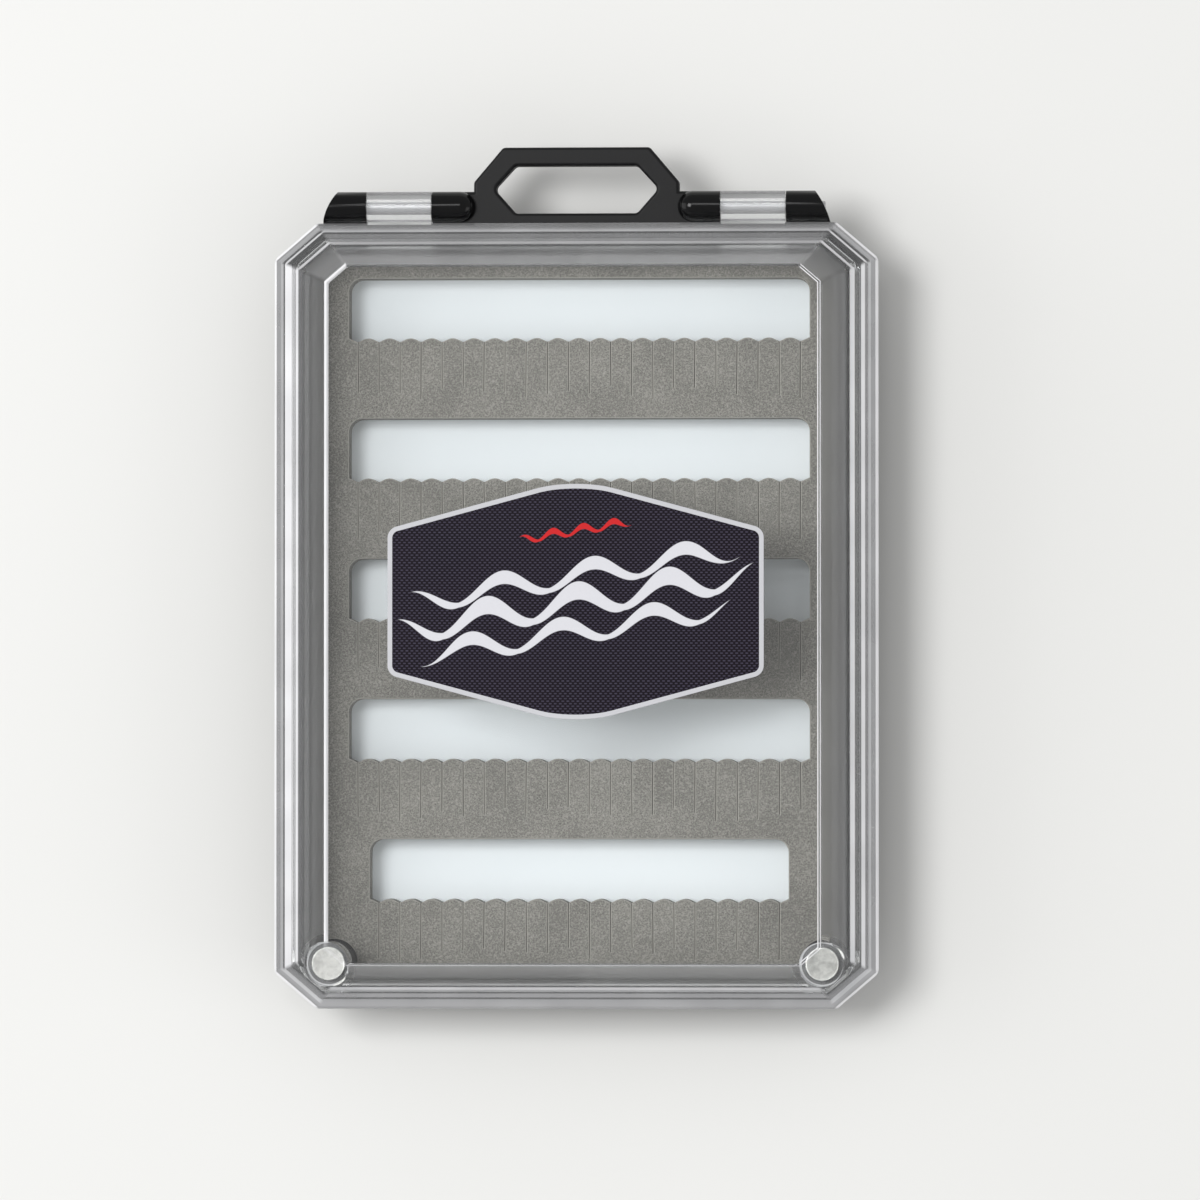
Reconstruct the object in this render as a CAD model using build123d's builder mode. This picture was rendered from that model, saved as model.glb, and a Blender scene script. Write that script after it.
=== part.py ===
from build123d import *

import os
from math import sqrt

os.makedirs("parts", exist_ok=True)

# Fly box lying on its back: X to the right, Y towards the hinge and the handle, Z out of the lid.
# The origin is the middle of the flat underside.

# Case outline, over the lid's rim
case_width = 181.0
case_length = 235.2
corner_cut_x = 12.6
corner_cut_y = 10.8
corner_round = 3.0

# Rings of the lid, each moved in from the case outline in X, in Y and across the cut corners
tread_ring = (3.2, 2.9, 3.0)
riser_foot_ring = (5.2, 4.6, 4.9)
riser_top_ring = (6.8, 5.8, 7.1)
slope_foot_ring = (8.6, 6.6, 8.0)
window_ring = (16.6, 13.1, 16.5)

# Heights of the lid's steps above the parting plane
parting_gap = 0.2
rim_height = 2.4
tread_height = 4.4
slope_foot_height = 7.0
window_height = 17.4
window_raise = 0.6

# Walls of the lid
lid_wall = 1.8
window_wall = 2.0
window_edge_cover = 0.8
window_corner_round = 3.6
window_corner_cut = 5.6
window_margin = 0.3
slope_corner_round = 3.0
rim_edge_chamfer = 0.7
channel_inset = 0.9
channel_height = 3.4

# Base
base_height = 28.0
base_floor = 2.5
base_wall = 2.2
base_draft = 1.0
base_edge_height = 3.0
base_edge_inset = 2.6
base_rim_inset = 0.3
base_rim_thickness = 3.0
base_rim_edge_chamfer = 0.7

# Lip on the base that the closed lid sits round
lip_clearance = 0.3
lip_thickness = 1.1
lip_height = 1.4

# Corner posts of the base, corner bosses of the lid, and the magnets in them
post_inset_x = 16.7
post_inset_y = 13.6
post_radius = 6.6
post_clearance = 0.5
post_edge_chamfer = 1.2
magnet_radius = 5.0
magnet_thickness = 3.0
magnet_clearance = 0.05
magnet_recess = 0.1

# Hinge
barrel_radius = 4.6
barrel_clearance = 0.35
lug_inset = 14.4
lug_length = 13.4
lug_taper = 4.6
lug_bulge = 0.5
inner_barrel_length = 8.3
knuckle_gap = 0.2
dome_overlap = 0.5
web_overlap = 1.5
pin_radius = 1.5
pin_press_clearance = 0.02
pin_running_clearance = 0.08
pin_end_depth = 0.1
pin_recess = 3.1
pin_nub = 1.7
pin_end_chamfer = 0.3

# Carrying handle
handle_reach = 22.8
handle_thickness = 7.0
handle_drop = 0.2
handle_half_width = 30.8
handle_tip_half_width = 22.0
handle_shoulder = 12.4
handle_corner_round = 1.6
handle_edge_round = 1.0
grip_low = 3.0
grip_high = 17.25
grip_middle = 10.3
grip_half_width = 24.6
grip_flat_half_width = 18.2
grip_corner_round = 1.8

# Foam insert and its backing sheet
foam_clearance = 0.4
foam_thickness = 10.0
backing_thickness = 1.5
foam_post_clearance = 0.4
slot_pitch = 42.2
slot_height = 17.6
slot_corner_round = 4.0
slot_side_band = 7.9
slot_back_band = 4.6
slot_front_band = 21.0
short_slot_inset = 6.35
ripple_pitch = 6.35
ripple_depth = 1.5
ripple_round = 1.6

# Label on the window
label_half_width = 56.85
label_side_half_height = 21.7
label_half_height = 36.8
label_crown_round = 45.0
label_corner_round = 4.0
label_thickness = 0.3
label_centre_y = 3.9

# Places worked out from the sizes above
rim_back_y = case_length / 2
lid_bottom = base_height + parting_gap
window_foot = base_height + window_height
window_top = window_foot + window_raise
slope_foot = base_height + slope_foot_height
lid_mouth_top = slope_foot - lid_wall
lip_top = base_height + lip_height
hinge_y = rim_back_y + barrel_clearance + barrel_radius
hinge_z = base_height
handle_top = base_height - handle_drop
foam_bottom = base_floor + backing_thickness
foam_top = foam_bottom + foam_thickness
post_x = case_width / 2 - post_inset_x
post_y = post_inset_y - case_length / 2
posts = ((-post_x, post_y), (post_x, post_y))
lug_root_x = case_width / 2 - lug_inset
knuckle_outer_x = lug_root_x - lug_length
dome_x = handle_half_width - dome_overlap + barrel_radius
knuckle_inner_x = dome_x + inner_barrel_length + knuckle_gap
pin_inner_x = dome_x + pin_end_depth
pin_outer_x = lug_root_x - pin_recess
sides = {"left": -1, "right": 1}


def moved_in(ring, amount):
    """Ring moved in by one distance on its sides and its corners."""
    return tuple(inset + amount for inset in ring)


lid_mouth_ring = moved_in(slope_foot_ring, lid_wall)
window_inner_ring = moved_in(window_ring, window_edge_cover)
lip_ring = moved_in(lid_mouth_ring, lip_clearance)
base_mouth_ring = moved_in(lip_ring, lip_thickness)
base_floor_ring = moved_in(base_mouth_ring, base_draft)
base_top_ring = moved_in(base_mouth_ring, -base_wall)
base_edge_ring = moved_in(base_floor_ring, -base_wall)
base_foot_ring = moved_in(base_edge_ring, base_edge_inset)
foam_ring = moved_in(base_floor_ring, foam_clearance)
rim_ring = (0.0, 0.0, 0.0)
base_rim_ring = moved_in(rim_ring, base_rim_inset)


def outline(ring, radius=0.0):
    """Face of the case outline moved in to a ring."""
    inset_x, inset_y, corner_inset = ring
    x = case_width / 2 - inset_x
    y = case_length / 2 - inset_y
    reach = 1 + corner_inset * sqrt(1 / corner_cut_x**2 + 1 / corner_cut_y**2)
    cut_x = corner_cut_x * (reach - inset_y / corner_cut_y) - inset_x
    cut_y = corner_cut_y * (reach - inset_x / corner_cut_x) - inset_y
    right = [(x - cut_x, y), (x, y - cut_y), (x, cut_y - y), (x - cut_x, -y)]
    left = [(-px, py) for px, py in reversed(right)]
    with BuildSketch(Plane.XY) as face:
        with BuildLine():
            FilletPolyline(*right, *left, radius=radius, close=True)
        make_face()
    return face.sketch_local


def tapered_block(low_ring, low_z, high_ring, high_z, corner_radius=0.0):
    """Straight-sided block between two rings, with its sloping corners rounded if a radius is given."""
    with BuildPart() as block:
        with BuildSketch(Plane.XY.offset(low_z)):
            add(outline(low_ring))
        with BuildSketch(Plane.XY.offset(high_z)):
            add(outline(high_ring))
        loft(ruled=True)
        if corner_radius:
            level_edges = block.faces().filter_by(Axis.Z).edges()
            fillet(block.edges() - level_edges, radius=corner_radius)
    return block.part


def upright_block(ring, low_z, high_z, radius=0.0):
    """Upright block with the outline of a ring."""
    with BuildPart() as block:
        with BuildSketch(Plane.XY.offset(low_z)):
            add(outline(ring, radius))
        extrude(amount=high_z - low_z)
    return block.part


def post_discs(radius, low_z, high_z):
    """Upright discs at both corner posts."""
    with BuildPart() as discs:
        with BuildSketch(Plane.XY.offset(low_z)):
            with Locations(*posts):
                Circle(radius)
        extrude(amount=high_z - low_z)
    return discs.part


def hinge_bar(from_x, to_x, radius):
    """Round bar on the hinge axis."""
    with BuildPart() as bar:
        with BuildSketch(Plane.YZ.offset(from_x)):
            with Locations((hinge_y, hinge_z)):
                Circle(radius)
        extrude(amount=to_x - from_x)
    return bar.part


def hinge_knuckle(from_x, to_x, web_y, web_z, skin_z):
    """Hinge barrel with the web that joins it to the case, between two heights."""
    with BuildPart() as knuckle:
        with BuildSketch(Plane.YZ.offset(from_x)):
            with Locations((hinge_y, hinge_z)):
                Circle(barrel_radius)
            with BuildLine():
                Polyline(
                    (hinge_y, web_z), (hinge_y, skin_z), (web_y, skin_z), (web_y, web_z), close=True
                )
            make_face()
        extrude(amount=to_x - from_x)
    return knuckle.part


# Carrying handle, moulded in one piece with the base
base_web_y = rim_back_y - base_top_ring[1] - web_overlap
handle_foot_y = hinge_y + barrel_radius
handle_outline = [
    (dome_x, base_web_y),
    (dome_x, handle_foot_y),
    (handle_half_width, handle_foot_y),
    (handle_half_width, rim_back_y + handle_shoulder),
    (handle_tip_half_width, rim_back_y + handle_reach),
]
handle_rounds = [0, 0, 0, handle_corner_round, handle_corner_round]
grip_outline = [
    (grip_flat_half_width, rim_back_y + grip_low),
    (grip_half_width, rim_back_y + grip_middle),
    (grip_flat_half_width, rim_back_y + grip_high),
]
with BuildPart() as handle:
    with BuildSketch(Plane.XY.offset(handle_top - handle_thickness)):
        with BuildLine():
            FilletPolyline(
                *handle_outline,
                *[(-x, y) for x, y in reversed(handle_outline)],
                radius=[*handle_rounds, *reversed(handle_rounds)],
                close=True,
            )
        make_face()
    extrude(amount=handle_thickness)
    with BuildSketch(Plane.XY.offset(handle_top - handle_thickness)):
        with BuildLine():
            FilletPolyline(
                *grip_outline,
                *[(-x, y) for x, y in reversed(grip_outline)],
                radius=grip_corner_round,
                close=True,
            )
        make_face()
    extrude(amount=handle_thickness, mode=Mode.SUBTRACT)
    free_edges = (
        handle.faces()
        .filter_by(Axis.Z)
        .edges()
        .filter_by_position(Axis.Y, rim_back_y, rim_back_y + handle_reach)
        .filter_by_position(Axis.X, -dome_x, dome_x, inclusive=(False, False))
    )
    fillet(free_edges, radius=handle_edge_round)

# Base shell: tray with a drafted wall, rim, lip, posts, hinge barrels and the handle
wall_top = base_height - base_rim_thickness
with BuildPart() as corner_posts:
    add(post_discs(post_radius, 0, wall_top))
    chamfer(corner_posts.edges().group_by(Axis.Z)[0], length=post_edge_chamfer)
with BuildPart() as base_shell:
    add(tapered_block(base_foot_ring, 0, base_edge_ring, base_edge_height))
    add(tapered_block(base_edge_ring, base_edge_height, base_top_ring, wall_top))
    add(upright_block(base_rim_ring, wall_top, base_height, corner_round))
    chamfer(base_shell.edges().group_by(Axis.Z)[-1], length=base_rim_edge_chamfer)
    add(corner_posts.part)
    add(upright_block(lip_ring, base_height, lip_top))
    add(post_discs(post_radius + post_clearance, base_height, lip_top), mode=Mode.SUBTRACT)
    add(tapered_block(base_floor_ring, base_floor, base_mouth_ring, base_height), mode=Mode.SUBTRACT)
    add(upright_block(base_mouth_ring, base_height, lip_top), mode=Mode.SUBTRACT)
    add(post_discs(post_radius, base_floor, base_height))
    add(
        post_discs(
            magnet_radius + magnet_clearance,
            base_height - magnet_thickness - magnet_recess,
            base_height,
        ),
        mode=Mode.SUBTRACT,
    )
    for side in sides.values():
        for from_x, to_x in (
            (side * dome_x, side * (knuckle_inner_x - knuckle_gap)),
            (side * (knuckle_outer_x + knuckle_gap), side * lug_root_x),
        ):
            add(hinge_knuckle(from_x, to_x, base_web_y, hinge_z, hinge_z - barrel_radius))
        with Locations((side * dome_x, hinge_y, hinge_z)):
            Sphere(barrel_radius)
        with BuildSketch(Plane.XY.offset(hinge_z - barrel_radius)):
            with BuildLine():
                root = (side * lug_root_x, rim_back_y)
                tip = (side * (lug_root_x - lug_taper), hinge_y + barrel_radius)
                middle = (
                    (root[0] + tip[0]) / 2 + side * lug_bulge,
                    (root[1] + tip[1]) / 2 + lug_bulge / 2,
                )
                corner = (root[0] + side * barrel_radius, tip[1] + barrel_radius)
                ThreePointArc(root, middle, tip)
                Polyline(tip, (tip[0], corner[1]), corner, (corner[0], root[1]), root)
            make_face()
        extrude(amount=2 * barrel_radius, mode=Mode.SUBTRACT)
        pin_bore = hinge_bar(side * pin_inner_x, side * lug_root_x, pin_radius + pin_press_clearance)
        add(pin_bore, mode=Mode.SUBTRACT)
    add(handle.part)
base_shell.part.label = "base_shell"
export_step(base_shell.part, "parts/base_shell.step")

# Lid shell: clear moulding with a stepped rim, sloped walls, a raised window, bosses and knuckles
lid_web_y = rim_back_y - tread_ring[1] - web_overlap
with BuildPart() as lid_shell:
    add(upright_block(rim_ring, lid_bottom, base_height + rim_height, corner_round))
    chamfer(lid_shell.edges().group_by(Axis.Z)[-1], length=rim_edge_chamfer)
    add(upright_block(tread_ring, lid_bottom, base_height + tread_height, corner_round))
    add(tapered_block(riser_foot_ring, base_height + tread_height, riser_top_ring, slope_foot))
    add(tapered_block(slope_foot_ring, slope_foot, window_ring, window_foot, slope_corner_round))
    with BuildSketch(Plane.XY.offset(window_foot)) as window_sketch:
        Rectangle(
            case_width - 2 * (window_ring[0] + window_margin),
            case_length - 2 * (window_ring[1] + window_margin),
        )
        chamfer(window_sketch.vertices().group_by(Axis.Y)[-1], length=window_corner_cut)
        fillet(window_sketch.vertices().group_by(Axis.Y)[0], radius=window_corner_round)
    extrude(amount=window_raise)
    add(upright_block(lid_mouth_ring, lid_bottom, lid_mouth_top), mode=Mode.SUBTRACT)
    add(
        tapered_block(
            lid_mouth_ring,
            lid_mouth_top,
            window_inner_ring,
            window_top - window_wall,
            slope_corner_round,
        ),
        mode=Mode.SUBTRACT,
    )
    with BuildSketch(Plane.XY.offset(lid_bottom)):
        add(outline(moved_in(riser_foot_ring, channel_inset)))
        add(outline(moved_in(lid_mouth_ring, -lid_wall)), mode=Mode.SUBTRACT)
    extrude(amount=channel_height, mode=Mode.SUBTRACT)
    add(post_discs(post_radius, lid_bottom, window_foot))
    add(
        post_discs(
            magnet_radius + magnet_clearance, lid_bottom, lid_bottom + magnet_recess + magnet_thickness
        ),
        mode=Mode.SUBTRACT,
    )
    for side in sides.values():
        from_x, to_x = side * knuckle_inner_x, side * knuckle_outer_x
        add(hinge_knuckle(from_x, to_x, lid_web_y, lid_bottom, base_height + rim_height))
        add(hinge_bar(from_x, to_x, pin_radius + pin_running_clearance), mode=Mode.SUBTRACT)
lid_shell.part.label = "lid_shell"
export_step(lid_shell.part, "parts/lid_shell.step")

# Hinge pins: steel wire pressed into the base's barrels, the right one a little proud of its lug
for name, side in sides.items():
    with BuildPart() as hinge_pin:
        tip_x = pin_outer_x + (pin_nub if side > 0 else 0)
        add(hinge_bar(side * pin_inner_x, side * tip_x, pin_radius))
        chamfer(hinge_pin.edges().filter_by(GeomType.CIRCLE), length=pin_end_chamfer)
    hinge_pin.part.label = f"hinge_pin_{name}"
    export_step(hinge_pin.part, f"parts/hinge_pin_{name}.step")

# Magnets: one disc in each lid boss and one in each base post
magnet_floors = {
    "lid": lid_bottom + magnet_recess,
    "base": base_height - magnet_recess - magnet_thickness,
}
for half, floor_z in magnet_floors.items():
    for name, side in sides.items():
        with BuildPart() as magnet:
            with BuildSketch(Plane.XY.offset(floor_z)):
                with Locations((side * post_x, post_y)):
                    Circle(magnet_radius)
            extrude(amount=magnet_thickness)
        magnet.part.label = f"{half}_magnet_{name}"
        export_step(magnet.part, f"parts/{half}_magnet_{name}.step")


def sheet_face():
    """Face of a sheet that lies in the base round the posts."""
    with BuildSketch(Plane.XY) as sheet:
        add(outline(foam_ring))
        with Locations(*posts):
            Circle(post_radius + foam_post_clearance, mode=Mode.SUBTRACT)
    return sheet.sketch_local


def rippled_slot(half_width, crest_y):
    """Slot face with rounded far corners and a row of ripple crests along its near side."""
    ripples = int(2 * half_width // ripple_pitch)
    reach = ripples * ripple_pitch / 2
    valley_y = crest_y - ripple_depth
    crests = [(step + 0.5) * ripple_pitch - reach for step in range(ripples)]
    near_side = [(-half_width, crest_y), (-reach, valley_y)]
    rounds = []
    for crest_x in crests:
        near_side += [(crest_x, crest_y), (crest_x + ripple_pitch / 2, valley_y)]
        rounds += [ripple_round, 0]
    near_side.append((half_width, crest_y))
    far_y = crest_y + slot_height
    with BuildSketch(Plane.XY) as slot:
        with BuildLine():
            FilletPolyline(
                *near_side,
                (half_width, far_y),
                (-half_width, far_y),
                radius=[0, 0, *rounds, 0, slot_corner_round, slot_corner_round],
                close=True,
            )
        make_face()
    return slot.sketch_local


# Foam insert: one sheet with a row of slots, each with ripples for the hooks
foam_half_width = case_width / 2 - foam_ring[0]
foam_half_length = case_length / 2 - foam_ring[1]
slot_half_width = foam_half_width - slot_side_band
first_crest_y = foam_half_length - slot_back_band - slot_height
slot_run = 2 * foam_half_length - slot_back_band - slot_height - slot_front_band
slot_count = 1 + int(slot_run // slot_pitch)
with BuildPart() as foam_insert:
    with BuildSketch(Plane.XY.offset(foam_bottom)):
        add(sheet_face())
        for row in range(slot_count):
            inset = short_slot_inset if row == slot_count - 1 else 0
            crest_y = first_crest_y - row * slot_pitch
            add(rippled_slot(slot_half_width - inset, crest_y), mode=Mode.SUBTRACT)
    extrude(amount=foam_thickness)
foam_insert.part.label = "foam_insert"
export_step(foam_insert.part, "parts/foam_insert.step")

# Backing sheet under the foam
with BuildPart() as backing_sheet:
    with BuildSketch(Plane.XY.offset(base_floor)):
        add(sheet_face())
    extrude(amount=backing_thickness)
backing_sheet.part.label = "backing_sheet"
export_step(backing_sheet.part, "parts/backing_sheet.step")

# Label on top of the window
with BuildPart() as lid_label:
    with BuildSketch(Plane.XY.offset(window_top)):
        with BuildLine():
            FilletPolyline(
                (0, label_centre_y + label_half_height),
                (label_half_width, label_centre_y + label_side_half_height),
                (label_half_width, label_centre_y - label_side_half_height),
                (0, label_centre_y - label_half_height),
                (-label_half_width, label_centre_y - label_side_half_height),
                (-label_half_width, label_centre_y + label_side_half_height),
                radius=2 * [label_crown_round, label_corner_round, label_corner_round],
                close=True,
            )
        make_face()
    extrude(amount=label_thickness)
lid_label.part.label = "lid_label"
export_step(lid_label.part, "parts/lid_label.step")
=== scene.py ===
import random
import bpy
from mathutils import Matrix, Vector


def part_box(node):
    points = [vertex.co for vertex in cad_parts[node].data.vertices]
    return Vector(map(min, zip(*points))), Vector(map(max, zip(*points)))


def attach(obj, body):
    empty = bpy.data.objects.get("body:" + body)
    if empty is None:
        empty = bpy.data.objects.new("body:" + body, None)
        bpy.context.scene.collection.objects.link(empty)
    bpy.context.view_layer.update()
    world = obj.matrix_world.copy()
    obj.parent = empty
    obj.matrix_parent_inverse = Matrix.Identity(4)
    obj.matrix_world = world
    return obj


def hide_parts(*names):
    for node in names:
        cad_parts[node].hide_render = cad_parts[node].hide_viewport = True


bl_info = {
    "name": "Fly box",
    "version": (1, 0, 0),
    "blender": (4, 5, 0),
    "location": "3D View > Sidebar > Fly box",
    "description": "Dresses the packed fly box with moulded, foam and metal pieces",
    "category": "Object",
}

from math import atan2, pi, radians, sqrt

import bmesh
import bpy
from bpy.props import FloatProperty, FloatVectorProperty, IntProperty, PointerProperty
from mathutils import Matrix, Vector

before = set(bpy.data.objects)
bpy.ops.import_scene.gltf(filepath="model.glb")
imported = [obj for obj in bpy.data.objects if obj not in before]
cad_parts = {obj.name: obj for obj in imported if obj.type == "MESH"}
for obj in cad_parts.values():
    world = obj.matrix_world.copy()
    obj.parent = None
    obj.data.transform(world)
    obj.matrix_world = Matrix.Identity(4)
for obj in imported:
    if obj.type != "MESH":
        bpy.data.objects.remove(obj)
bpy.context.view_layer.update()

MM = 0.001
SIDES = ("left", "right")
FOAM_LOW, FOAM_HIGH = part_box("foam_insert")
BACKING_LOW, BACKING_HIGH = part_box("backing_sheet")
LABEL_LOW, LABEL_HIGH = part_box("lid_label")
LID_LOW, LID_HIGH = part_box("lid_shell")
LID_HEIGHT = 18.0 * MM
PARTING_Z = LID_HIGH.z - LID_HEIGHT
RIM_HALF = Vector((LID_HIGH.x, -LID_LOW.y))
CORNER_CUT = Vector((12.6, 10.8)) * MM
BOSS = Vector((73.8, -104.0)) * MM
WINDOW_DEPTH = 2.7 * MM

# Heights on the lid above the parting plane, in millimetres.
RIM_FOOT, RIM_TOP = 1.2, 7.4
SLOPE_FOOT = 8.0
GLINT_FOOT = 16.2
WINDOW_EDGE = 17.3

# How far the rim and the window reach in from the lid's outline, in millimetres.
RIM_WIDTH_SIDE, RIM_WIDTH_END = 8.8, 6.9
WINDOW_SIDE, WINDOW_END, WINDOW_CORNER = 16.6, 13.1, 16.5

# What turns a distance from a side or a cut corner into the matching one from an end.
SIDE_TO_END, CORNER_TO_END = 0.79, 0.82

# Past this sum of its shares of the way out to a side and to an end, a place is at a corner.
CORNER_SUM = 1.8

# Milky bands of painted highlight and reflection, from the lid's outline inwards: millimetres,
# then a share.
LEFT_BANDS = (
    (0.5, 0.87), (0.75, 0.3), (1.8, 0.3), (2.05, 0.43), (2.6, 0.43), (2.85, 0.08),
    (3.25, 0.08), (3.45, 0.9), (5.3, 0.9), (5.55, 0.36), (5.85, 0.58), (6.1, 0.2), (6.4, 0.53),
    (6.65, 0.22), (6.95, 0.84), (7.4, 0.84), (7.7, 0.14), (8.9, 0.08), (9.6, 0.0),
)
RIGHT_BANDS = (
    (0.7, 0.9), (0.95, 0.3), (2.1, 0.3), (2.4, 0.52), (2.8, 0.52), (3.35, 0.22), (3.75, 0.22),
    (4.15, 0.72), (4.95, 0.72), (5.3, 0.12), (6.7, 0.12), (7.15, 0.68), (8.15, 0.68),
    (8.6, 0.02), (9.4, 0.02), (10.2, 0.09), (13.4, 0.11), (13.9, 0.05),
)
BACK_BANDS = (
    (1.2, 0.16), (2.5, 0.41), (2.8, 0.04), (3.2, 0.04), (3.5, 0.16), (4.6, 0.16),
    (4.9, 0.36), (6.4, 0.36), (6.9, 0.08), (8.5, 0.1), (12.6, 0.25),
)
FRONT_BANDS = (
    (2.8, 0.38), (3.1, 0.1), (3.35, 0.1), (3.6, 0.32), (4.7, 0.32), (4.9, 0.1), (5.1, 0.1),
    (5.3, 0.55), (6.4, 0.55), (6.8, 0.0), (9.0, 0.0), (13.0, 0.2),
)
BACK_CORNER_BANDS = (
    (0.5, 0.97), (0.8, 0.28), (1.6, 0.36), (2.2, 0.3), (2.5, 0.03), (2.9, 0.03), (3.2, 0.62),
    (3.45, 0.62), (3.75, 0.02), (6.9, 0.02), (7.15, 0.6), (7.5, 0.6), (7.9, 0.04), (16.0, 0.12),
)
FRONT_CORNER_BANDS = (
    (0.5, 0.97), (0.8, 0.32), (1.9, 0.38), (2.2, 0.6), (3.0, 0.58), (3.4, 0.24), (4.6, 0.2),
    (5.0, 0.1), (7.0, 0.04), (16.0, 0.1),
)
# A painted oval highlight beside each front boss.
OVAL_BANDS = ((4.8, 0.0), (5.1, 0.62), (5.35, 0.2), (5.85, 0.2), (6.1, 0.5), (6.35, 0.0))

# Painted highlights along the window's edge: millimetres in from the edge, then a share.
RIGHT_LINES = (
    (0.1, 0.0), (0.2, 0.72), (0.38, 0.72), (0.5, 0.0),
    (0.8, 0.0), (0.92, 0.85), (1.12, 0.85), (1.24, 0.0),
)
LEFT_LINE = (
    (-0.5, 0.0), (-0.35, 0.95), (0.0, 0.95), (0.1, 0.74),
    (0.35, 0.74), (0.5, 0.42), (0.9, 0.42), (1.05, 0.0),
)
END_LINE = ((-0.1, 0.0), (0.1, 0.4), (0.25, 0.4), (0.45, 0.0))

# Lift, swing, length, phase, width and reach of the label's waves, all but the phase in mm.
PALE_WAVES = (
    (7.6, 3.1, 27.0, 0.4, 2.0, 50.0),
    (-0.4, 3.6, 27.0, 1.5, 2.7, 54.0),
    (-9.0, 3.1, 27.0, 2.6, 2.0, 47.0),
)
RED_WAVE = (21.0, 1.1, 9.0, 0.0, 0.9, 17.0)

# What clear plastic leaves of the light that goes through it to what lies behind.
WALL_LETS_THROUGH = (0.86, 0.865, 0.865)
WINDOW_LETS_THROUGH = (0.975, 0.98, 0.98)


def swatch(red, green, blue):
    """Scene colour of a swatch given on the usual 0 to 255 scale."""
    parts = []
    for part in (red, green, blue):
        part = part / 255
        parts.append(part / 12.92 if part <= 0.04045 else ((part + 0.055) / 1.055) ** 2.4)
    return tuple(parts)


class Value:
    """A number socket of a finish, so that shader maths reads as sums."""

    def __init__(self, finish, socket):
        self.finish = finish
        self.socket = socket

    def maths(self, operation, *terms):
        sockets = dict(enumerate(terms))
        node = self.finish.node("ShaderNodeMath", {"operation": operation}, sockets)
        return Value(self.finish, node.outputs[0])

    def __add__(self, other):
        return self.maths("ADD", self, other)

    def __radd__(self, other):
        return self.maths("ADD", other, self)

    def __sub__(self, other):
        return self.maths("SUBTRACT", self, other)

    def __rsub__(self, other):
        return self.maths("SUBTRACT", other, self)

    def __mul__(self, other):
        return self.maths("MULTIPLY", self, other)

    def __rmul__(self, other):
        return self.maths("MULTIPLY", other, self)

    def __truediv__(self, other):
        return self.maths("DIVIDE", self, other)

    def __rtruediv__(self, other):
        return self.maths("DIVIDE", other, self)

    def __abs__(self):
        return self.maths("ABSOLUTE", self)

    def sine(self):
        return self.maths("SINE", self)

    def fraction(self):
        return self.maths("FRACT", self)

    def whole(self):
        return self.maths("FLOOR", self)

    def least(self, other):
        return self.maths("MINIMUM", self, other)

    def most(self, other):
        return self.maths("MAXIMUM", self, other)

    def choose(self, one, other):
        """One value where this is 1, the other where it is 0, and between them a mix."""
        return self * one + (1 - self) * other

    def steps(self, stops):
        """Runs smoothly through a list of places and values."""
        total = stops[0][1]
        for (low, before), (high, after) in zip(stops, stops[1:]):
            if after != before:
                total = (after - before) * self.ramp(low, high) + total
        return total

    def ramp(self, low, high):
        """Smoothly from 0 at low to 1 at high, and level past both."""
        settings = {"interpolation_type": "SMOOTHSTEP"}
        sockets = {"Value": self, "From Min": low, "From Max": high}
        node = self.finish.node("ShaderNodeMapRange", settings, sockets)
        return Value(self.finish, node.outputs[0])


class NodeTree:
    """The nodes of a material or of the sky."""

    def __init__(self, owner):
        owner.use_nodes = True
        self.tree = owner.node_tree
        self.tree.nodes.clear()

    def node(self, kind, settings=None, sockets=None):
        """Adds a node, applies its settings first and then fills or links its sockets."""
        node = self.tree.nodes.new(kind)
        for key, value in (settings or {}).items():
            setattr(node, key, value)
        for key, value in (sockets or {}).items():
            if isinstance(key, int):
                socket = node.inputs[key]
            else:
                socket = next(s for s in node.inputs if s.name == key and s.enabled)
            if isinstance(value, Value):
                value = value.socket
            if isinstance(value, bpy.types.NodeSocket):
                self.tree.links.new(value, socket)
            elif hasattr(value, "__len__") and len(value) == 3 and len(socket.default_value) == 4:
                socket.default_value = (*value, 1)
            else:
                socket.default_value = value
        return node


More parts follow.
